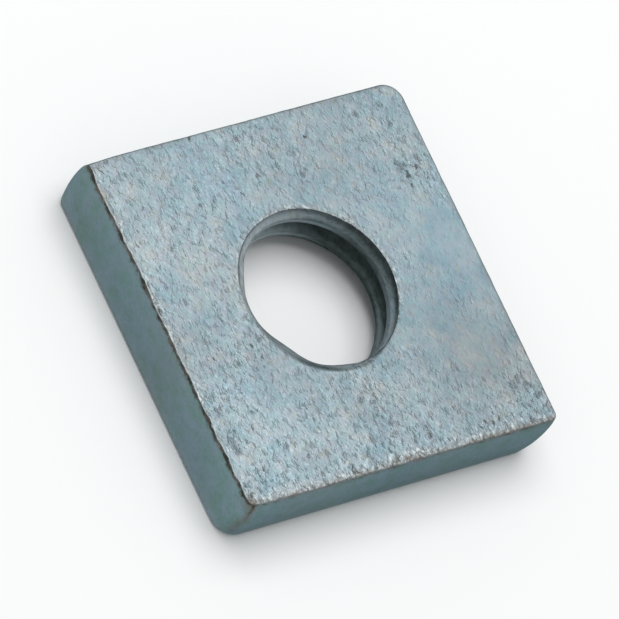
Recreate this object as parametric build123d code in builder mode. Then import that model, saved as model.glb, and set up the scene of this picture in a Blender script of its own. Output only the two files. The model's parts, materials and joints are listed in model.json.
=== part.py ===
from build123d import *
import os

# Slide nut: a square plate blanked from flat steel bar and tapped M10 through its middle.
# Millimetres. The underside, where the blank rolled over, lies on Z = 0 and the crisp face with
# the burr is at the top. +Y runs along the cut length. The origin is the middle of the underside.

# Flat bar and cut length, which is measured between the upper edges
BAR_WIDTH = 20.0
CUT_LENGTH = 20.6
THICKNESS = 4.0

# The two cut faces aren't quite flat. Between their edges they stand out by CUT_FACE_BULGE, most
# at BULGE_HEIGHT above the underside, where the die drew them in by UNDER_DRAW_IN.
CUT_FACE_BULGE = 0.18
BULGE_HEIGHT = 2.4
UNDER_DRAW_IN = 0.05

# Corner radii in plan. Each corner is nearly sharp on the burr side and opens out towards the
# underside, where the die drew the metal in.
BACK_LEFT_TOP_RADIUS = 0.15
BACK_LEFT_UNDER_RADIUS = 0.6
BACK_RIGHT_TOP_RADIUS = 1.1
BACK_RIGHT_UNDER_RADIUS = 1.5
FRONT_RIGHT_TOP_RADIUS = 0.4
FRONT_RIGHT_UNDER_RADIUS = 1.0
FRONT_LEFT_TOP_RADIUS = 0.75
FRONT_LEFT_UNDER_RADIUS = 1.3

# Edges round the outline
UNDER_EDGE_ROLL = 0.25
TOP_EDGE_BREAK = 0.1

# Hole for the M10 x 1.5 thread, at tapping size. It was pierced slightly off the plate's middle.
THREAD_DIAMETER = 10.0
THREAD_HEIGHT = 0.65
HOLE_OFFSET_X = -0.1
HOLE_OFFSET_Y = 0.15
MOUTH_DIAMETER = 9.3
EXIT_DIAMETER = 11.6
COUNTERSINK_ANGLE = 120.0

TAPPING_RADIUS = THREAD_DIAMETER / 2 - THREAD_HEIGHT
BULGE_SHARE = BULGE_HEIGHT / THICKNESS
TURNED_OVER = (180, 0, 0)

# Each corner as (side in X, side in Y, plan radius on the underside, plan radius at the top)
CORNERS = (
    (-1, 1, BACK_LEFT_UNDER_RADIUS, BACK_LEFT_TOP_RADIUS),
    (1, 1, BACK_RIGHT_UNDER_RADIUS, BACK_RIGHT_TOP_RADIUS),
    (1, -1, FRONT_RIGHT_UNDER_RADIUS, FRONT_RIGHT_TOP_RADIUS),
    (-1, -1, FRONT_LEFT_UNDER_RADIUS, FRONT_LEFT_TOP_RADIUS),
)
# Each level of the outline as (share of the thickness, how far the cut faces stand out there)
LEVELS = ((0, -UNDER_DRAW_IN), (BULGE_SHARE, CUT_FACE_BULGE), (1, 0))

# The plate is one solid: outline, rolled lower edges, broken upper edges and the tapping hole.
with BuildPart() as slide_nut:
    # One smooth wall through the outline at three heights: the bar's own sides stay flat, the cut
    # faces swell between their edges, and each corner opens out downwards.
    for share, stand_out in LEVELS:
        with BuildSketch(Plane.XY.offset(THICKNESS * share)) as outline:
            Rectangle(BAR_WIDTH, CUT_LENGTH + 2 * stand_out)
            for side_x, side_y, under, top in CORNERS:
                corner = (side_x * BAR_WIDTH / 2, side_y * (CUT_LENGTH / 2 + stand_out), 0)
                nearest = outline.vertices().sort_by_distance(corner)[0]
                fillet(nearest, radius=under + (top - under) * share)
    loft()

    # The punch rolled the lower edges in and left the upper ones crisp.
    fillet(slide_nut.faces().sort_by(Axis.Z)[0].edges(), radius=UNDER_EDGE_ROLL)
    fillet(slide_nut.faces().sort_by(Axis.Z)[-1].edges(), radius=TOP_EDGE_BREAK)

    # Tapping hole: a light countersink at the top and a wider one at the underside.
    with Locations((HOLE_OFFSET_X, HOLE_OFFSET_Y, THICKNESS)):
        CounterSinkHole(TAPPING_RADIUS, MOUTH_DIAMETER / 2, counter_sink_angle=COUNTERSINK_ANGLE)
    with Locations(Location((HOLE_OFFSET_X, HOLE_OFFSET_Y, 0), TURNED_OVER)):
        CounterSinkHole(TAPPING_RADIUS, EXIT_DIAMETER / 2, counter_sink_angle=COUNTERSINK_ANGLE)
slide_nut.part.label = "slide_nut"

os.makedirs("parts", exist_ok=True)
export_step(slide_nut.part, "parts/slide_nut.step")
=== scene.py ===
"""Slide nut: a square plate nut in blue-passivated zinc plate, lying on a pale studio floor.

The whole nut is one closed surface. Its rows run round the plate and its columns run once round
the section: across the top face, over the edge, down the side, across the underside, up the
thread and back to the mouth. Lengths are worked out in millimetres and put into the mesh in metres.
"""

import json
import math

import bpy
import numpy as np
from mathutils import Matrix, Vector


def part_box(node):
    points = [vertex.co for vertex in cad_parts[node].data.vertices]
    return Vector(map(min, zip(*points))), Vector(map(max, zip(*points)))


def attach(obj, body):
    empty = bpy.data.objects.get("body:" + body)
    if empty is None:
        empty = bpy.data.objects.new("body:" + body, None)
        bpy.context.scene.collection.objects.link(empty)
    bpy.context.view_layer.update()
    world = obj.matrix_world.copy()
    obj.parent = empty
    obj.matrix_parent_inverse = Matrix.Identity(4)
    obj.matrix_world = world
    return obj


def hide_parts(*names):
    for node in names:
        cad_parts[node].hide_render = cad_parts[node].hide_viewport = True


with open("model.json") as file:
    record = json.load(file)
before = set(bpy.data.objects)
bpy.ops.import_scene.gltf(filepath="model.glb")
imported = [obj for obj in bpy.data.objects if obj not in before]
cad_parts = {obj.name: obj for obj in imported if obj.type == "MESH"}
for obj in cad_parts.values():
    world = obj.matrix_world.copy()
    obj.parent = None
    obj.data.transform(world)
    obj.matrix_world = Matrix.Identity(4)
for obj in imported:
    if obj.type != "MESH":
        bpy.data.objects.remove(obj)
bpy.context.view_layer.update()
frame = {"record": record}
NODE = "slide_nut"
MM = 0.001

# The plate, in millimetres: its box and the hole's place from the frame, the rest as in the CAD.
low, high = (np.array(corner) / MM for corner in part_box(NODE))
HALF_WIDTH = (high[0] - low[0]) / 2
HALF_LENGTH = (high[1] - low[1]) / 2
THICKNESS = high[2]
TOP_BREAK = 0.1
UNDER_ROLL = 0.25
# Plan radius of each corner (under, top) and its side in X and Y, anticlockwise from back right
CORNERS = ((1.5, 1.1, 1, 1), (0.6, 0.15, -1, 1), (1.3, 0.75, -1, -1), (1.0, 0.4, 1, -1))
LEAST_RADIUS = 0.02
# How far the cut faces stand out at the underside, at BULGE_HEIGHT and at the top
BULGE_HEIGHT = 2.4
STAND_OUT = np.polyfit((0, BULGE_HEIGHT, THICKNESS), (-0.05, 0.18, 0), 2)
MOST_STAND_OUT = np.polyval(STAND_OUT, -STAND_OUT[1] / (2 * STAND_OUT[0]))

# Thread: M10 x 1.5, right-hand. Its crests lie CREST_GAP outside the wall of the tapping hole.
# START_DEPTH is the depth of a crest's middle at START_ANGLE.
thread = next(mount for mount in frame["record"]["mounts"] if mount["name"] == "thread")
HOLE_X = thread["pos_m"][0] / MM
HOLE_Y = thread["pos_m"][1] / MM
CREST_GAP = 0.04
CREST_RADIUS = thread["dims"]["r_mm"] + CREST_GAP
PITCH = 1.5
ROOT_RADIUS = 5.08
CREST_FLAT = PITCH / 4
FLANK_SLOPE = math.tan(math.radians(60))
CREST_ROUNDING = 0.06
START_ANGLE = math.radians(27)
START_DEPTH = 1.0
EXIT_RADIUS = 5.8
CONE_SLOPE = math.tan(math.radians(60))
# The mouth was deburred unevenly: its radius every 45 degrees from +X. Its lip closes over the
# groove and is up to LIP_HEIGHT high, and below it small burrs lean inwards: (angle and half-width
# in degrees, height).
MOUTH_RADII = (4.57, 4.60, 4.74, 4.73, 4.69, 4.75, 4.77, 4.51)
LIP_SLOPE = 1.5
LIP_ROUNDING = 0.03
LIP_HEIGHT = 0.16
LIP_BURRS = ((152, 16, 0.16), (216, 18, 0.27), (264, 22, 0.14), (322, 30, 0.08))
LIP_BURR_DEPTH = 0.22
LIP_BURR_SPREAD = 0.2

# Stations round the nut and rows round its section: 4 x 182 x 136 x 2 triangles
CORNER_STATIONS = 22
SIDE_STATIONS = 160
FACE_ROWS = 26
FACE_ROW_CROWDING = 0.7
BURR_ROWS = 10
EDGE_ROWS = 5
SIDE_ROWS = 9
UNDER_ROWS = 5
BORE_ROWS = 76

# Painted shade in the thread: full below the depth given here, least opposite the angle given
# here, and more deep in the groove
SHADE_DEPTH = 0.7
SHADE_ANGLE = math.radians(20)
SHADE_NARROWING = 12
LEAST_SHADE = 0.1
GROOVE_SHADE = 0.45
GROOVE_START = 4.6
GROOVE_REACH = 0.3
# The tap left fine marks round the wall, which vary the painted shade and painted highlights on it.
MARK_STRENGTH = 0.45
MARK_WANDER = 0.25
# From here on a stretch of the hole is (its middle angle, half-width). The groove's root is painted
# in shadow under the lip over one stretch, down to a given depth.
SHADED_ROOT = (math.radians(325), math.radians(26))
SHADED_DEPTH = 1.3
SHADED_END = 0.2
SHADED_REACH = 0.15
SHADED_STRENGTH = 0.4
# A painted highlight lies over another stretch. It is brightest along the crests and fades past
# them, from BRIGHT_START on, down to a least share.
FLANK_HIGHLIGHT = (math.radians(132), math.radians(50))
BRIGHT_START = 0.075
BRIGHT_REACH = 0.5
LEAST_HIGHLIGHT = 0.25
# A third stretch has a painted highlight below the rim. The painted shade covers these two by a
# given share.
BRIGHT_RIM = (math.radians(5), math.radians(60))
RIM_LIGHT = 0.5
RIM_LIGHT_DEPTH = 0.7
SHADE_COVER = 0.7
# Painted light: the groove outside the shaded stretch, less below the shaded depth, and the crests'
# edges.
GROOVE_LIGHT = 0.16
LEAST_GROOVE_LIGHT = 0.4
EDGE_LIGHT = 0.07
EDGE_LIGHT_WIDTH = 0.06
# A painted shadow lies in a line under the lip, and the mouth's cone starts with a dark ring on its
# near side. Both begin on the face, right at the rim.
DARK_LINE = (math.radians(328), math.radians(24))
LINE_DEPTH = 0.18
LINE_ON_FACE = 0.9
DARK_RING = (math.radians(250), math.radians(45))
RING_STRENGTH = 0.55
RING_DEPTH = 0.12
RING_WIDTH = 0.05

# The rolled face lies a little below the burr on its edges. The hole's rim has a burr of its own,
# strongest round RIM_BURR_ANGLE and least opposite it: (least, most).
FACE_DROP = 0.035
BURR_WIDTH = 0.8
RIM_BURR_WIDTH = 0.5
RIM_BURR_ANGLE = math.radians(65)
RIM_BURR_STRENGTH = (0.1, 0.85)
RIM_BROWN = 0.15
# Each of the next four gives the front, left, right and back edge: how far it is worn in, how
# strongly it is burred, how dark the line below it is, and how brown it is stained.
EDGE_RAG = (0.06, 0.2, 0.03, 0.03)
BURR_STRENGTH = (1.0, 0.65, 0.2, 0.2)
LINE_STRENGTH = (0.4, 1.0, 0.1, 0.1)
BROWN_STRENGTH = (0.7, 0.45, 0.3, 0.35)
# How far wear and line run on round a corner, and how far they reach down the side
RAG_RUN = 2.0
RAG_REACH = 0.6
LINE_RUN = 1.0
LINE_WIDTH = 0.24
# The line also shows this far in from the edge of the face.
LINE_REACH = 0.12
# The brown stain's width on the face and down the side, and its share there
BROWN_WIDTH = 0.3
BROWN_BELOW = 0.5
# Pale flecks of burr smeared down the sides
FLECKS = 0.14
FLECK_REACH = 0.8
# A brown crease runs down the front left corner, at this share of its arc, with a dark gash in its
# upper part. The crease's strength is given at the underside and at the top.
CREASE_SHARE = 0.62
CREASE_WIDTH = 0.14
CREASE_STRENGTH = (0.25, 0.85)
GASH_WIDTH = 0.1
GASH_LENGTH = 1.3
GASH_STRENGTH = 0.8
# The same corner's tip is chipped, and brown on the face and on the side.
CHIP_PLACE = (-9.75, -10.05)
CHIP_RADIUS = 0.42
CHIP_DEPTH = 0.05
CHIP_HEIGHT = 0.8
CHIP_BROWN = (0.85, 0.8)
# Painted light on the lower sides, against the floor's contact shade: how much, and up to what
# height
LOW_SIDE_LIGHT = 0.16
LOW_SIDE_LIGHT_HEIGHT = 1.1
# Dark pits and dents seen on the face, longer than wide: (x, y, radius, darkness). They are full
# up to PIT_CORE of the radius and end at PIT_RIM of it, and their outline wanders.
PIT_NARROWING = 1.5
PIT_CORE = 0.5
PIT_RIM = 1.3
PIT_WANDER = 0.4
PITS = (
    (3.17, 8.6, 0.16, 0.9),
    (-0.55, 7.2, 0.16, 0.6),
    (-4.6, 6.4, 0.15, 0.6),
    (8.1, 5.05, 0.2, 0.8),
    (8.75, 5.3, 0.15, 0.7),
    (8.05, 4.35, 0.17, 0.8),
    (-5.5, -1.8, 0.17, 0.8),
    (-5.2, -2.5, 0.13, 0.6),
    (-9.7, 1.4, 0.2, 0.7),
    (-7.6, -6.1, 0.16, 0.6),
    (1.4, -4.8, 0.13, 0.6),
    (-0.5, -9.4, 0.17, 0.7),
    (6.1, -9.5, 0.2, 0.8),
    (6.6, -9.3, 0.14, 0.6),
    (5.7, -9.3, 0.13, 0.7),
    (6.35, -9.0, 0.12, 0.6),
    (5.3, -9.5, 0.12, 0.6),
    (-3.4, 10.1, 0.16, 0.8),
    (-9.4, -9.6, 0.2, 0.7),
)
# Broad patches of the plating: (x, y, radius, lighter or darker, warmer or cooler)
PATCHES = (
    (-7.0, 5.0, 3.0, 0.6, 0.2),
    (-8.5, -7.5, 4.0, 0.9, 0.0),
    (6.5, -6.5, 4.0, -1.1, 0.1),
    (8.0, -6.5, 2.5, 0.0, 0.9),
    (3.0, 8.5, 2.5, -0.5, 0.4),
    (-1.7, -6.1, 0.8, -0.9, -0.4),
    (8.5, 5.0, 1.0, -0.8, 0.0),
    (-9.0, -1.5, 1.5, -0.5, 0.6),
    (-6.0, 4.0, 2.0, 0.0, 0.8),
    (8.0, 1.0, 3.5, 0.3, -1.2),
    (-3.0, 7.5, 2.0, -0.2, -0.9),
    (-7.5, -4.0, 1.5, 0.0, -0.6),
)
# Rougher or smoother stretches of the rolled skin: along the edges, front, left, right and back,
# and (x, y, radius, change)
ROUGH_EDGES = (0.45, 0.05, 0.0, 0.0)
ROUGH_EDGE_WIDTH = 2.0
ROUGH_PATCHES = (
    (8.0, 0.5, 4.0, -0.32),
    (6.0, -5.0, 3.5, -0.4),
    (0.5, 8.5, 2.0, 0.2),
    (8.8, 5.0, 1.2, 0.5),
    (-6.0, -1.5, 1.5, 0.3),
    (-8.5, -9.0, 2.0, 0.4),
    (0.0, -8.0, 2.5, 0.35),
    (-4.0, -7.5, 2.0, 0.2),
    (8.0, -9.3, 1.5, 0.4),
)
# Random fields by name: the size of their patches, seed, middle value and swing about it
FIELDS = {
    "burr width": (1.1, 7, 1.0, 0.5),
    "burr strength": (1.6, 22, 0.85, 0.35),
    "burr crumbs": (0.25, 8, 0.7, 0.3),
    "rim burr": (0.9, 21, 0.75, 0.4),
    "long waves": (2.4, 9, 0.0, 0.008),
    "short waves": (0.5, 10, 0.0, 0.006),
    "tone": (3.0, 11, 0.0, 0.5),
    "warmth": (2.2, 12, 0.0, 0.5),
    "roughness": (2.5, 13, 0.62, 0.2),
    "tool marks": (0.11, 14, 0.0, 1.0),
    "long wear": (0.9, 15, 0.5, 0.3),
    "short wear": (0.27, 16, 0.0, 0.2),
    "long line": (1.3, 17, 0.85, 0.15),
    "short line": (0.35, 18, 0.0, 0.25),
    "brown": (0.8, 19, 0.6, 0.4),
    "crease": (0.9, 20, 0.0, 0.12),
}


def lattice_noise(x, y, cell, seed):
    """Smooth random field between -1 and 1: random values on a square lattice of the given cell,
    blended between lattice points by the curve 3t^2 - 2t^3 along each axis."""
    size = 256
    table = np.random.default_rng(seed).uniform(-1, 1, (size, size))
    u = x / cell + size / 2
    v = y / cell + size / 2
    column = np.floor(u).astype(int)
    row = np.floor(v).astype(int)
    s = u - column
    t = v - row
    s = s * s * (3 - 2 * s)
    t = t * t * (3 - 2 * t)
    column, next_column = column % size, (column + 1) % size
    row, next_row = row % size, (row + 1) % size
    near = table[column, row] * (1 - s) + table[next_column, row] * s
    far = table[column, next_row] * (1 - s) + table[next_column, next_row] * s
    return near * (1 - t) + far * t


def varied(name, x, y):
    """A random field by its name: its middle value, plus its swing times smooth noise."""
    cell, seed, middle, swing = FIELDS[name]
    return middle + swing * lattice_noise(x, y, cell, seed)


def rising(distance, reach):
    """A share that rises evenly from 0 to 1 over a reach."""
    return np.clip(distance / reach, 0, 1)


def fading(distance, reach):
    """A share that falls evenly from 1 to 0 over a reach."""
    return np.clip(1 - distance / reach, 0, 1)


def spot(x, y, middle_x, middle_y, radius):
    """A soft round spot, from 0 to 1: a bell curve of the distance from its middle."""
    return np.exp(-((x - middle_x) ** 2 + (y - middle_y) ** 2) / radius ** 2)


def outline(z, inset):
    """Stations on the plate's outline at heights z, moved in by an inset, as (row, station, xy).

    Each corner is a quarter circle about its own centre, whose radius runs evenly from the
    underside's to the top's. Each side is a straight line between two corners. The cut faces
    stand out by a parabola of the height."""
    z, inset = np.broadcast_arrays(np.atleast_1d(z), np.atleast_1d(inset))
    z = z[:, None]
    inset = inset[:, None]
    half_length = HALF_LENGTH - MOST_STAND_OUT + np.polyval(STAND_OUT, z)
    turn = np.linspace(0, np.pi / 2, CORNER_STATIONS + 1)
    arcs = []
    for index, (under, top, side_x, side_y) in enumerate(CORNERS):
        radius = np.maximum(under + (top - under) * z / THICKNESS - inset, LEAST_RADIUS)
        angle = turn + index * np.pi / 2
        x = side_x * (HALF_WIDTH - inset - radius) + radius * np.cos(angle)
        y = side_y * (half_length - inset - radius) + radius * np.sin(angle)
        arcs.append(np.stack([x, y], -1))
    along = (np.arange(1, SIDE_STATIONS) / SIDE_STATIONS)[:, None]
    pieces = []
    for index in range(4):
        start = arcs[index][:, -1:]
        end = arcs[(index + 1) % 4][:, :1]
        pieces += [arcs[index], start + (end - start) * along]
    return np.roll(np.concatenate(pieces, 1), SIDE_STATIONS // 2, 1)


STATIONS = 4 * (CORNER_STATIONS + SIDE_STATIONS)
HOLE_ANGLE = np.arange(STATIONS) * 2 * np.pi / STATIONS


def around(angle, middle, width):
    """A soft bump over angles, from 0 to 1: a bell curve of the angle from its middle."""
    away = np.mod(angle - middle + np.pi, 2 * np.pi) - np.pi
    return np.exp(-(away / width) ** 2)


def around_hole(radius):
    """Points at the given radius from the hole's middle, one for each station."""
    x = HOLE_X + radius * np.cos(HOLE_ANGLE)
    y = HOLE_Y + radius * np.sin(HOLE_ANGLE)
    return np.stack([x, y], -1)


def softly_greater(a, b, rounding):
    """The greater of two values, with the corner between them rounded off."""
    return (a + b + np.sqrt((a - b) ** 2 + rounding ** 2)) / 2


def softly_lesser(a, b, rounding):
    """The lesser of two values, with the corner between them rounded off."""
    return -softly_greater(-a, -b, rounding)


def mouth_radius(angle):
    """Radius of the mouth at an angle: the radii given every 45 degrees, blended between
    neighbours by the curve 3t^2 - 2t^3."""
    radii = np.array(MOUTH_RADII)
    share = np.mod(angle, 2 * np.pi) / (2 * np.pi) * len(radii)
    first = np.floor(share).astype(int) % len(radii)
    t = share - np.floor(share)
    t = t * t * (3 - 2 * t)
    return radii[first] * (1 - t) + radii[(first + 1) % len(radii)] * t


def lip_burrs(angle, depth):
    """How far the lip's burrs lean inwards: soft bumps round their own angles and one depth."""
    lean = np.zeros(np.broadcast(angle, depth).shape)
    for middle, width, height in LIP_BURRS:
        lean = lean + height * around(angle, math.radians(middle), math.radians(width))
    return lean * np.exp(-((depth - LIP_BURR_DEPTH) / LIP_BURR_SPREAD) ** 2)


def past_crest(angle, depth):
    """Distance past the edge of the nearest crest's flat, less than 0 on the flat. Depth becomes
    a distance from the crest's middle, along a helix that rises one pitch for each turn."""
    helix = (depth - START_DEPTH) / PITCH + (angle - START_ANGLE) / (2 * np.pi)
    return np.abs((helix + 0.5) % 1.0 - 0.5) * PITCH - CREST_FLAT / 2


def bore_radius(angle, depth):
    """Radius of the threaded hole at an angle and a depth below the top face.

    The radius is the crest's over its flat, then grows along the 60 degree flank and stops at the
    root. Under the lip, which is highest where the painted shadow line lies under it, it also stops
    at a wall that starts from the mouth and opens evenly with depth. The mouth's and the exit's
    cones then open whatever is narrower than they are, and the lip's burrs lean in last."""
    radius = CREST_RADIUS + past_crest(angle, depth) * FLANK_SLOPE
    radius = softly_greater(radius, CREST_RADIUS, CREST_ROUNDING)
    radius = softly_lesser(radius, ROOT_RADIUS, CREST_ROUNDING)
    mouth = mouth_radius(angle)
    lip = LIP_HEIGHT * around(angle, *DARK_LINE)
    radius = softly_lesser(radius, mouth + LIP_SLOPE * np.maximum(depth - lip, 0), LIP_ROUNDING)
    radius = softly_greater(radius, mouth - CONE_SLOPE * depth, LIP_ROUNDING)
    leaving = EXIT_RADIUS - (THICKNESS - depth) * CONE_SLOPE
    return softly_greater(radius, leaving, CREST_ROUNDING) - lip_burrs(angle, depth)


def tool_marks(angle, depth, radius):
    """The tap's fine marks, between -1 and 1: noise across the wall, drawn out along it."""
    along = MARK_WANDER * np.cos(angle)
    across = depth + radius + MARK_WANDER * np.sin(angle)
    return varied("tool marks", along, across)


def painted_bore_shade(angle, depth, radius):
    """How darkly the thread is painted in shade, from 0 to 1: by depth and angle, more in the
    groove and at its root under the lip, in a painted shadow line under the lip and in a dark ring
    on the mouth's cone. Tool marks vary it."""
    # Painted shade: deeper down, and darkest round the given angle, on the far wall that faces the
    # camera
    facing = np.cos((angle - SHADE_ANGLE) / 2) ** SHADE_NARROWING
    shade = rising(depth, SHADE_DEPTH) * (LEAST_SHADE + (1 - LEAST_SHADE) * facing)
    groove = rising(radius - GROOVE_START, GROOVE_REACH) * rising(depth, GROOVE_REACH)
    groove = groove * (1 - around(angle, *FLANK_HIGHLIGHT))
    root_shade = rising(radius - GROOVE_START, SHADED_REACH) * rising(SHADED_DEPTH - depth, SHADED_END)
    shade = shade + SHADED_STRENGTH * around(angle, *SHADED_ROOT) * root_shade
    shade = shade + around(angle, *DARK_LINE) * np.exp(-(depth / LINE_DEPTH) ** 4)
    shade = shade + RING_STRENGTH * around(angle, *DARK_RING) * np.exp(-(depth / RING_DEPTH) ** 2)
    marks = MARK_STRENGTH * tool_marks(angle, depth, radius)
    return np.clip(shade + GROOVE_SHADE * groove + marks, 0, 1)


def nearest_edge(x, y, strengths, width):
    """The greatest of the edges' strengths at a point, each falling off evenly over its width."""
    half_length = HALF_LENGTH - MOST_STAND_OUT
    gaps = (half_length + y, HALF_WIDTH + x, HALF_WIDTH - x, half_length - y)
    share = np.zeros_like(x)
    for gap, strength in zip(gaps, strengths):
        share = np.maximum(share, strength * fading(gap - TOP_BREAK, width))
    return share


def burr_share(x, y):
    """How much of the burr there is, from 0 to 1. Its width and strength vary along the edge."""
    burr = nearest_edge(x, y, BURR_STRENGTH, BURR_WIDTH * varied("burr width", x, y))
    return np.clip(burr * varied("burr strength", x, y), 0, 1)


def chip_share(x, y):
    """How much of the chip in the front left corner there is, from 0 to 1."""
    return spot(x, y, *CHIP_PLACE, CHIP_RADIUS)


def brown_share(x, y):
    """How brown the edge is, from 0 to 1: in patches along it, and in the chip."""
    edge = nearest_edge(x, y, BROWN_STRENGTH, BROWN_WIDTH) * varied("brown", x, y)
    return np.maximum(edge, CHIP_BROWN[0] * chip_share(x, y))


def face_height(x, y):
    """Height of the top face: a shallow drop below the burr, rolling waves and the chip."""
    crumbs = burr_share(x, y) * varied("burr crumbs", x, y)
    waves = varied("long waves", x, y) + varied("short waves", x, y)
    drop = FACE_DROP * (1 - crumbs)
    return THICKNESS + np.minimum(waves - drop - CHIP_DEPTH * chip_share(x, y), 0)


def patch_tones(x, y):
    """How light and how warm the plating is, from 0 to 1 with 0.5 in the middle: slow noise and
    soft round patches, added up and divided by 4."""
    tone = varied("tone", x, y)
    warmth = varied("warmth", x, y)
    for patch_x, patch_y, radius, lighter, warmer in PATCHES:
        near = spot(x, y, patch_x, patch_y, radius)
        tone = tone + lighter * near
        warmth = warmth + warmer * near
    return np.clip(0.5 + tone / 4, 0, 1), np.clip(0.5 + warmth / 4, 0, 1)


def rough_share(x, y):
    """How rough the rolled skin is, from 0 to 1: slow noise, rougher along the front edge, smoother
    in some round patches and rougher in others."""
    share = varied("roughness", x, y) + nearest_edge(x, y, ROUGH_EDGES, ROUGH_EDGE_WIDTH)
    for patch_x, patch_y, radius, change in ROUGH_PATCHES:
        share = share + change * spot(x, y, patch_x, patch_y, radius)
    return np.clip(share, 0, 1)


def even_steps(start, stop, count):
    """Evenly spaced values from start up to, but not with, stop."""
    return np.linspace(start, stop, count, endpoint=False)


# Layers on the mesh: the sides' colour, partly painted shade; the dark edge line; burr; the
# thread's painted shade; brown stain; painted light
SURFACE_LAYERS = ("side", "line", "burr", "bore", "brown", "bright")


def strip(plan, z, **layer_values):
    """Rows of the section as one block (row, station, value): x, y, z and each layer by name, from
    0 to 1, which is 0 where it isn't given. The layers are finishes, painted shade and painted
    light."""
    values = [z] + [layer_values.get(name, 0.0) for name in SURFACE_LAYERS]
    layers = [np.broadcast_to(value, plan.shape[:-1])[..., None] for value in values]
    return np.concatenate([plan] + layers, -1)


def ragged(plan, share):
    """Moves points in across the outline, where the sheared edge is worn: by two fields of noise
    along the edge, times a share for each row."""
    turn = np.linspace(0, np.pi / 2, CORNER_STATIONS + 1)
    sides = [np.append(turn + side * np.pi / 2, np.full(SIDE_STATIONS - 1, (side + 1) * np.pi / 2))
             for side in range(4)]
    angle = np.roll(np.concatenate(sides), SIDE_STATIONS // 2)
    x, y = outline(THICKNESS, 0.0)[0].T
    worn = varied("long wear", x, y) + varied("short wear", x, y)
    rag = nearest_edge(x, y, EDGE_RAG, RAG_RUN)
    inward = -np.stack([np.cos(angle), np.sin(angle)], -1) * (rag * worn)[:, None]
    return plan + inward * share[:, None, None]


def face_rows():
    """Top face from the mouth's rim to where the edges' burr begins, in rows drawn together near
    both ends by a sine of the step. At the rim lie its own burr, with a little brown, and the
    beginning of the painted shadow line and the dark ring."""
    rim = around_hole(bore_radius(HOLE_ANGLE, 0.0))
    border = outline(THICKNESS, TOP_BREAK + BURR_WIDTH)[0]
    step = even_steps(0, 1, FACE_ROWS)
    step = (step - FACE_ROW_CROWDING * np.sin(2 * np.pi * step) / (2 * np.pi))[:, None, None]
    plan = rim + (border - rim) * step
    x, y = plan[..., 0], plan[..., 1]
    gap = np.linalg.norm(plan - rim, axis=-1)
    side = 0.5 + 0.5 * np.cos(HOLE_ANGLE - RIM_BURR_ANGLE)
    near_rim = fading(gap, RIM_BURR_WIDTH)
    least, most = RIM_BURR_STRENGTH
    rim_burr = near_rim * varied("rim burr", x, y) * (least + (most - least) * side)
    line = LINE_ON_FACE * around(HOLE_ANGLE, *DARK_LINE)
    ring = RING_STRENGTH * around(HOLE_ANGLE, *DARK_RING)
    shade = np.maximum(ring, line) * fading(gap, RING_WIDTH)
    burr = np.maximum(burr_share(x, y), rim_burr)
    return strip(plan, face_height(x, y), burr=burr, brown=RIM_BROWN * near_rim * side, bore=shade)


def border_rows():
    """Burred border of the top face, out to the edge, where the dark line begins."""
    inset = even_steps(BURR_WIDTH, 0, BURR_ROWS)
    plan = ragged(outline(THICKNESS, TOP_BREAK + inset), 1 - inset / BURR_WIDTH)
    x, y = plan[..., 0], plan[..., 1]
    line = edge_line() ** 2 * fading(inset, LINE_REACH)[:, None]
    return strip(plan, face_height(x, y), burr=burr_share(x, y), brown=brown_share(x, y), line=line)


def edge_line():
    """How dark the line below the edge is at each station, varied by noise along it."""
    x, y = outline(THICKNESS, TOP_BREAK)[0].T
    noise = varied("long line", x, y) + varied("short line", x, y)
    return nearest_edge(x, y, LINE_STRENGTH, LINE_RUN) * noise


def edge_rows():
    """Broken upper edge: a quarter circle from the top face to the side."""
    turn = even_steps(0, np.pi / 2, EDGE_ROWS)
    over = np.cos(turn)[:, None]
    z = THICKNESS - TOP_BREAK * (1 - np.cos(turn))
    plan = ragged(outline(z, TOP_BREAK * (1 - np.sin(turn))), np.ones(EDGE_ROWS))
    x, y = plan[0, :, 0], plan[0, :, 1]
    height = z[:, None] + (face_height(x, y) - THICKNESS) * over
    line = edge_line() * np.sqrt(1 - over)
    burr = burr_share(x, y) * over
    return strip(plan, height, side=(1 - over) ** 2, line=line, burr=burr, brown=brown_share(x, y))


def side_rows():
    """Sides, in rows drawn together at the top. They carry the dark line under the edge, flecks of
    burr, brown stain, the crease and gash down the front left corner, the lower part of the chip,
    and a band of painted light low down."""
    below = even_steps(0, 1, SIDE_ROWS) ** 1.5 * (THICKNESS - TOP_BREAK - UNDER_ROLL)
    z = THICKNESS - TOP_BREAK - below
    plan = ragged(outline(z, 0.0), fading(below, RAG_REACH) ** 2)
    below = below[:, None]
    z = z[:, None]
    x, y = plan[0, :, 0], plan[0, :, 1]
    corner_start = SIDE_STATIONS // 2 + 2 * (CORNER_STATIONS + SIDE_STATIONS)
    along_arc = (np.arange(STATIONS) - corner_start) / CORNER_STATIONS
    gap = along_arc - CREASE_SHARE - varied("crease", z, z)
    at_underside, at_top = CREASE_STRENGTH
    crease = at_underside + (at_top - at_underside) * z / THICKNESS
    crease = crease * np.exp(-(gap / CREASE_WIDTH) ** 2)
    chip = CHIP_BROWN[1] * chip_share(x, y) * fading(below, CHIP_HEIGHT)
    brown = BROWN_BELOW * brown_share(x, y) * fading(below, BROWN_WIDTH)
    gash = GASH_STRENGTH * np.exp(-(gap / GASH_WIDTH) ** 2) * fading(below, GASH_LENGTH)
    line = np.maximum(edge_line() * fading(below, LINE_WIDTH), gash)
    return strip(plan, z, side=1.0, line=line, burr=FLECKS * fading(below, FLECK_REACH),
                 brown=np.maximum(np.maximum(crease, chip), brown),
                 bright=LOW_SIDE_LIGHT * fading(z, LOW_SIDE_LIGHT_HEIGHT))


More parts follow.
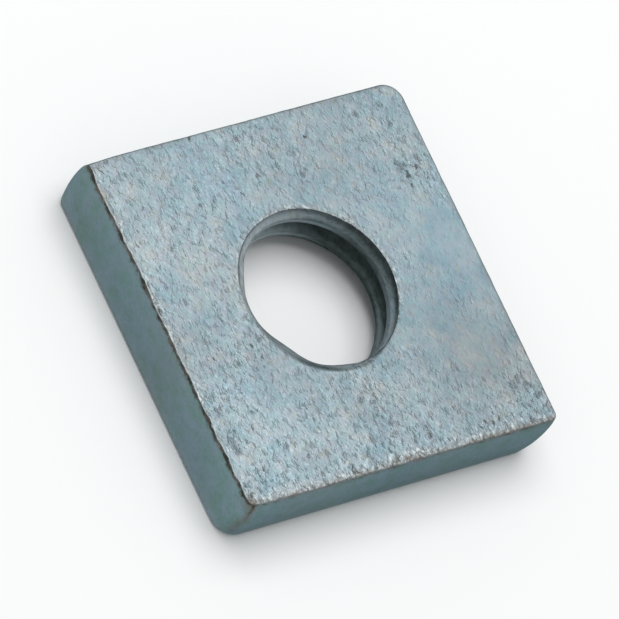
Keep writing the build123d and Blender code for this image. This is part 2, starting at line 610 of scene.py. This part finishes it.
def under_rows():
    """Rolled lower edge, a quarter circle, with the painted light of the lower sides, and the
    underside from there to the exit, in rows that draw together as a cubic so that the thread's
    painted shade ends at the exit."""
    turn = even_steps(0, np.pi / 2, EDGE_ROWS)
    z = UNDER_ROLL * (1 - np.sin(turn))[:, None]
    plan = outline(z[:, 0], UNDER_ROLL * (1 - np.cos(turn)))
    roll = strip(plan, z, side=1 - np.sin(turn)[:, None] ** 4, bright=LOW_SIDE_LIGHT)
    border = outline(0.0, UNDER_ROLL)[0]
    leaving = around_hole(bore_radius(HOLE_ANGLE, THICKNESS))
    step = 1 - (1 - even_steps(0, 1, UNDER_ROWS)) ** 3
    plan = border + (leaving - border) * step[:, None, None]
    return np.concatenate([roll, strip(plan, 0.0)])


def bore_rows():
    """Threaded wall from the exit up to the mouth, with its painted shade and painted highlights:
    over one stretch along the crests and below the rim, both dimmed by the painted shade, and
    fainter in the groove outside the shaded stretch and along the crests' edges. Tool marks vary
    them all."""
    depth = even_steps(THICKNESS, 0, BORE_ROWS)[:, None]
    radius = bore_radius(HOLE_ANGLE, depth)
    plan = np.stack([around_hole(row) for row in radius])
    shade = painted_bore_shade(HOLE_ANGLE, depth, radius)
    past = radius - CREST_RADIUS - BRIGHT_START
    highlight = np.clip(1 - past / BRIGHT_REACH, LEAST_HIGHLIGHT, 1) * around(HOLE_ANGLE, *FLANK_HIGHLIGHT)
    rim = RIM_LIGHT * fading(depth, RIM_LIGHT_DEPTH) * around(HOLE_ANGLE, *BRIGHT_RIM)
    shaded_highlight = np.maximum(highlight, rim) * (1 - SHADE_COVER * shade)
    unshaded = np.clip((SHADED_DEPTH - depth) / SHADED_END, LEAST_GROOVE_LIGHT, 1)
    unshaded = unshaded * (1 - around(HOLE_ANGLE, *SHADED_ROOT))
    groove = GROOVE_LIGHT * rising(radius - GROOVE_START, GROOVE_REACH) * unshaded
    edge = EDGE_LIGHT * np.exp(-(past_crest(HOLE_ANGLE, depth) / EDGE_LIGHT_WIDTH) ** 2)
    marks = 1 + MARK_STRENGTH * tool_marks(HOLE_ANGLE, depth, radius)
    bright = np.clip(np.maximum(shaded_highlight, np.maximum(groove, edge)) * marks, 0, 1)
    return strip(plan, THICKNESS - depth, bore=shade, bright=bright)


def closed_grid(name, points, attributes):
    """A mesh of four-sided faces on a grid that closes both ways, with named point attributes."""
    count, stations = points.shape[:2]
    index = np.arange(count * stations).reshape(count, stations)
    below = np.roll(index, -1, 0)
    corners = [index, below, np.roll(below, -1, 1), np.roll(index, -1, 1)]
    faces = np.stack(corners, -1).reshape(-1, 4)
    mesh = bpy.data.meshes.new(name)
    mesh.vertices.add(count * stations)
    mesh.vertices.foreach_set("co", (points * MM).astype(np.float32).ravel())
    mesh.loops.add(faces.size)
    mesh.loops.foreach_set("vertex_index", faces.ravel().astype(np.int32))
    mesh.polygons.add(len(faces))
    mesh.polygons.foreach_set("loop_start", np.arange(0, faces.size, 4, dtype=np.int32))
    mesh.polygons.foreach_set("loop_total", np.full(len(faces), 4, dtype=np.int32))
    mesh.update(calc_edges=True)
    mesh.polygons.foreach_set("use_smooth", np.ones(len(faces), dtype=bool))
    for label, values in attributes.items():
        layer = mesh.attributes.new(label, "FLOAT", "POINT")
        layer.data.foreach_set("value", values.astype(np.float32).ravel())
    piece = bpy.data.objects.new(name, mesh)
    bpy.context.scene.collection.objects.link(piece)
    return piece


def linear(colour):
    """An sRGB hex colour as linear red, green, blue and alpha."""
    parts = [int(colour[start:start + 2], 16) / 255 for start in (0, 2, 4)]
    return [p / 12.92 if p <= 0.04045 else ((p + 0.055) / 1.055) ** 2.4 for p in parts] + [1.0]


def node(tree, kind, settings=None, links=None, stops=None, **properties):
    """Adds a node with its properties, its unlinked inputs, its linked inputs and, on a colour
    ramp, its stops as (position, sRGB hex colour). Gives back its outputs."""
    made = tree.nodes.new(kind)
    for name, value in properties.items():
        setattr(made, name, value)
    for name, value in (settings or {}).items():
        made.inputs[name].default_value = value
    for name, output in (links or {}).items():
        tree.links.new(output, made.inputs[name])
    if stops:
        elements = made.color_ramp.elements
        while len(elements) < len(stops):
            elements.new(0.5)
        for element, (position, colour) in zip(elements, stops):
            element.position = position
            element.color = linear(colour)
    return made.outputs


# Inputs and output of a Mix node set to colour
FACTOR, UNDER, OVER, MIXED = 0, 6, 7, 2
PER_MM = 1 / MM


def pit_mask(tree, place, wander):
    """How dark a place is in the pits, from 0 to 1: the darkest of soft spots round their middles.
    A wandering place gives them uneven outlines, and a narrowed one makes them longer than wide."""
    centred = node(tree, "ShaderNodeVectorMath", {1: (0.5, 0.5, 0.5)}, {0: wander},
                   operation="SUBTRACT")[0]
    reach = PIT_WANDER * MM
    wandering = node(tree, "ShaderNodeVectorMath", {1: (reach, reach, 0.0)}, {0: centred, 2: place},
                     operation="MULTIPLY_ADD")[0]
    narrowed = node(tree, "ShaderNodeVectorMath", {1: (PIT_NARROWING, 1, 1)}, {0: wandering},
                    operation="MULTIPLY")[0]
    pits = None
    for x, y, radius, darkness in PITS:
        middle = (x * MM * PIT_NARROWING, y * MM, THICKNESS * MM)
        gap = node(tree, "ShaderNodeVectorMath", {1: middle}, {0: narrowed},
                   operation="DISTANCE")["Value"]
        settings = {"From Min": PIT_CORE * radius * MM, "From Max": PIT_RIM * radius * MM,
                    "To Min": darkness, "To Max": 0.0}
        pit = node(tree, "ShaderNodeMapRange", settings, {"Value": gap})[0]
        if pits:
            pit = node(tree, "ShaderNodeMath", None, {0: pits, 1: pit}, operation="MAXIMUM")[0]
        pits = pit
    return pits


def zinc_plate():
    """Zinc electroplate with a clear blue passivate, on steel with its rolled skin.

    Barrel plating follows the rolled skin, so the face is matt, pale blue grey and finely dented,
    with warm clouds where the passivate is thin, painted shade in its dents and a few painted
    glints. The sheared faces are smoother and a darker teal, made darker still by painted shade.
    The thread is painted darkest as shade, with painted highlights on some stretches, and the edges
    carry a pale crumbly burr with a brown line below it."""
    made = bpy.data.materials.new("zinc_blue_passivate")
    made.use_nodes = True
    tree = made.node_tree
    tree.nodes.clear()
    place = node(tree, "ShaderNodeTexCoord")["Object"]

    # Patterns: their real size in mm, detail, roughness, and how they are drawn out in the rolling
    patterns = {}
    for name, size, detail, rough, drawn in (
        ("clouds", 1.7, 4.0, 0.6, 1.0),
        ("mottle", 0.8, 3.0, 0.6, 1.0),
        ("scars", 0.6, 4.0, 0.65, 1.5),
        ("dents", 0.33, 3.0, 0.6, 1.4),
        ("nicks", 0.16, 1.0, 0.5, 1.2),
        ("speck", 0.22, 2.0, 0.6, 1.4),
        ("wander", 0.25, 1.0, 0.5, 1.0),
    ):
        drawn_out = node(tree, "ShaderNodeMapping",
                         {"Scale": (1, 1 / drawn, 1), "Location": (size, 0, 0)}, {"Vector": place})
        patterns[name] = node(tree, "ShaderNodeTexNoise",
                              {"Scale": PER_MM / size, "Detail": detail, "Roughness": rough},
                              {"Vector": drawn_out[0]})
    pits = pit_mask(tree, place, patterns["wander"]["Color"])
    masks = {}
    for name in SURFACE_LAYERS + ("tone", "warmth", "rough"):
        masks[name] = node(tree, "ShaderNodeAttribute", attribute_name=name)["Fac"]

    # The skin is flat between its dents: each pattern is cut off above a level.
    levels = {}
    for name, bottom, top in (("scars", 0.28, 0.42), ("dents", 0.34, 0.5), ("nicks", 0.32, 0.55)):
        levels[name] = node(tree, "ShaderNodeMapRange", {"From Min": bottom, "From Max": top},
                            {"Value": patterns[name]["Fac"]}, interpolation_type="SMOOTHSTEP")[0]

    # Burr and line end in crumbs: each mask is shifted by the specks and then hardened.
    speck = node(tree, "ShaderNodeMath", {1: 0.5}, {0: patterns["speck"]["Fac"]},
                 operation="SUBTRACT")[0]
    for name, shift, start, end in (("burr", 1.0, 0.25, 0.75), ("line", 1.1, 0.25, 0.6)):
        crumbs = node(tree, "ShaderNodeMath", {1: shift}, {0: speck, 2: masks[name]},
                      operation="MULTIPLY_ADD")[0]
        masks[name] = node(tree, "ShaderNodeMapRange", {"From Min": start, "From Max": end},
                           {"Value": crumbs})[0]

    # Colours of each layer, read off its pattern or mask
    ramps = {}
    for name, source, stops in (
        ("face", patterns["clouds"]["Fac"], ((0.36, "7E939B"), (0.5, "8D9FA5"), (0.64, "9CA8A9"))),
        ("mottle", patterns["mottle"]["Fac"],
         ((0.34, "8398A5"), (0.44, "8BA1A3"), (0.55, "949AA7"), (0.66, "9B9F99"))),
        # Scars, dents and nicks are darker at their bottoms: painted shade in their hollows
        ("scars", levels["scars"], ((0.0, "929190"), (1.0, "BDBDBD"))),
        ("dents", levels["dents"], ((0.0, "A6A6A6"), (1.0, "C0C0C0"))),
        ("nicks", levels["nicks"], ((0.0, "B5B5B5"), (1.0, "BEBEBE"))),
        ("rust", patterns["scars"]["Fac"], ((0.62, "BCBCBC"), (0.74, "C0B2A6"))),
        # Sparse pale specks: painted glints on the face
        ("glints", patterns["speck"]["Fac"], ((0.56, "BCBCBC"), (0.7, "D6D6D6"))),
        ("tone", masks["tone"], ((0.0, "ACACAC"), (0.5, "BCBCBC"), (1.0, "CBCBCB"))),
        ("warmth", masks["warmth"], ((0.0, "B3BDC3"), (0.5, "BCBCBC"), (1.0, "C6BAB5"))),
        ("burr", patterns["speck"]["Fac"], ((0.37, "736E69"), (0.47, "939DA0"), (0.62, "BDC7CA"))),
        # The sides' own darker teal, darkened further as painted shade
        ("side", patterns["mottle"]["Fac"], ((0.35, "6D8986"), (0.5, "738B90"), (0.65, "798D97"))),
        # The thread's painted shade, also used for the painted shadow line and the dark ring at the
        # rim
        ("bore", patterns["dents"]["Fac"], ((0.3, "2F3A38"), (0.7, "45524F"))),
        # Painted highlights in the thread and painted light on the lower sides
        ("bright", patterns["dents"]["Fac"], ((0.3, "C2D3D9"), (0.7, "E8F2F5"))),
        ("line", patterns["mottle"]["Fac"], ((0.4, "3F3F3B"), (0.6, "68665F"))),
    ):
        ramps[name] = node(tree, "ShaderNodeValToRGB", None, {"Fac": source}, stops)["Color"]

    # The layers, from the bottom up: (amount, colours over it, how they mix)
    colour = ramps["face"]
    for amount, over, blend in (
        (0.45, ramps["mottle"], "MIX"),
        (masks["rough"], ramps["dents"], "OVERLAY"),
        (masks["rough"], ramps["scars"], "OVERLAY"),
        (masks["rough"], ramps["rust"], "OVERLAY"),
        (masks["rough"], ramps["glints"], "OVERLAY"),
        (masks["side"], ramps["side"], "MIX"),
        (masks["bore"], ramps["bore"], "MIX"),
        (masks["bright"], ramps["bright"], "MIX"),
        (masks["rough"], ramps["nicks"], "OVERLAY"),
        (1.0, ramps["tone"], "OVERLAY"),
        (1.0, ramps["warmth"], "OVERLAY"),
        (pits, linear("4A4B49"), "MIX"),
        (masks["burr"], ramps["burr"], "MIX"),
        (masks["brown"], linear("6E6359"), "MIX"),
        (masks["line"], ramps["line"], "MIX"),
    ):
        settings = {}
        links = {UNDER: colour}
        for socket, value in ((FACTOR, amount), (OVER, over)):
            if isinstance(value, (float, list)):
                settings[socket] = value
            else:
                links[socket] = value
        colour = node(tree, "ShaderNodeMix", settings, links, data_type="RGBA",
                      blend_type=blend)[MIXED]

    # Relief too fine for the mesh, by its depth in mm. It is strongest where the skin is rough and
    # in the burr, and weaker on the smoother sheared sides.
    height = node(tree, "ShaderNodeMath", {1: 0.065}, {0: patterns["mottle"]["Fac"]},
                  operation="MULTIPLY")[0]
    for depth, source in (
        (0.036, levels["scars"]),
        (0.02, levels["dents"]),
        (0.003, levels["nicks"]),
        (-0.04, pits),
        (0.014, patterns["speck"]["Fac"]),
    ):
        height = node(tree, "ShaderNodeMath", {1: depth}, {0: source, 2: height},
                      operation="MULTIPLY_ADD")[0]
    strength = node(tree, "ShaderNodeMath", {1: -0.6}, {0: masks["side"], 2: masks["rough"]},
                    operation="MULTIPLY_ADD")[0]
    strength = node(tree, "ShaderNodeMath", {1: 0.6}, {0: masks["burr"], 2: strength},
                    operation="MULTIPLY_ADD", use_clamp=True)[0]
    relief = node(tree, "ShaderNodeBump", {"Distance": MM},
                  {"Height": height, "Strength": strength})[0]
    surface = node(tree, "ShaderNodeBsdfPrincipled",
                   {"Metallic": 0.85, "Roughness": 0.5, "Specular Tint": linear("A0A8AA")},
                   {"Base Color": colour, "Normal": relief})
    node(tree, "ShaderNodeOutputMaterial", None, {"Surface": surface[0]})
    return made


def floor_paint():
    """Matt white studio paint: no gloss, so it keeps only the nut's soft shadow."""
    made = bpy.data.materials.new("matt_white_paint")
    made.use_nodes = True
    tree = made.node_tree
    tree.nodes.clear()
    surface = node(tree, "ShaderNodeBsdfDiffuse", {"Color": linear("FBFBFB")})
    node(tree, "ShaderNodeOutputMaterial", None, {"Surface": surface[0]})
    return made


def studio():
    """Floor, pale surroundings and one large soft lamp overhead, slightly behind the nut."""
    reach = 0.6
    corners = [(-reach, -reach, 0), (reach, -reach, 0), (reach, reach, 0), (-reach, reach, 0)]
    mesh = bpy.data.meshes.new("floor")
    mesh.from_pydata(corners, [], [(0, 1, 2, 3)])
    floor = bpy.data.objects.new("floor", mesh)
    bpy.context.scene.collection.objects.link(floor)
    mesh.materials.append(floor_paint())

    world = bpy.data.worlds.new("studio")
    bpy.context.scene.world = world
    world.use_nodes = True
    tree = world.node_tree
    tree.nodes.clear()
    surround = node(tree, "ShaderNodeBackground", {"Color": linear("F8F9FA"), "Strength": 0.46})
    node(tree, "ShaderNodeOutputWorld", None, {"Surface": surround[0]})

    light = bpy.data.lights.new("softbox", "AREA")
    light.shape = "RECTANGLE"
    light.size = 0.4
    light.size_y = 0.4
    light.energy = 1.5
    lamp = bpy.data.objects.new("softbox", light)
    bpy.context.scene.collection.objects.link(lamp)
    lamp.location = (0.03, 0.09, 0.44)
    lamp.rotation_euler = (-lamp.location).to_track_quat("-Z", "Y").to_euler()


# Camera: where it looks, from where, its turn about its own axis, and its lens on 36 mm
CAMERA_AIM = (-1.2975, -0.7431, 4.0)
CAMERA_AZIMUTH = -154.049
CAMERA_ELEVATION = 53.419
CAMERA_ROLL = 43.085
CAMERA_DISTANCE = 568.74
CAMERA_LENS = 632.23


def camera():
    """A long lens at the photograph's angle. The camera's own axes are built from its line of
    sight and the level direction, then turned by the roll."""
    azimuth = math.radians(CAMERA_AZIMUTH)
    elevation = math.radians(CAMERA_ELEVATION)
    roll = math.radians(CAMERA_ROLL)
    flat = math.cos(elevation)
    back = Vector((flat * math.cos(azimuth), flat * math.sin(azimuth), math.sin(elevation)))
    level = Vector((0, 0, 1)).cross(back).normalized()
    right = level * math.cos(roll) + back.cross(level) * math.sin(roll)
    data = bpy.data.cameras.new("camera")
    data.lens = CAMERA_LENS
    data.sensor_width = 36
    data.clip_start = 0.01
    data.clip_end = 5
    made = bpy.data.objects.new("camera", data)
    bpy.context.scene.collection.objects.link(made)
    place = (Vector(CAMERA_AIM) + back * CAMERA_DISTANCE) * MM
    turn = Matrix((right, back.cross(right), back)).transposed().to_4x4()
    made.matrix_world = Matrix.Translation(place) @ turn
    bpy.context.scene.camera = made


rows = [face_rows(), border_rows(), edge_rows(), side_rows(), under_rows(), bore_rows()]
section = np.concatenate(rows)
points = section[..., :3]
attributes = dict(zip(SURFACE_LAYERS, np.moveaxis(section[..., 3:], -1, 0)))
attributes["tone"], attributes["warmth"] = patch_tones(points[..., 0], points[..., 1])
attributes["rough"] = rough_share(points[..., 0], points[..., 1])
nut = closed_grid("slide_nut_plated", points, attributes)
nut.data.materials.append(zinc_plate())
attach(nut, "root")
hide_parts(NODE)
studio()
camera()
bpy.context.scene.view_settings.view_transform = "Standard"
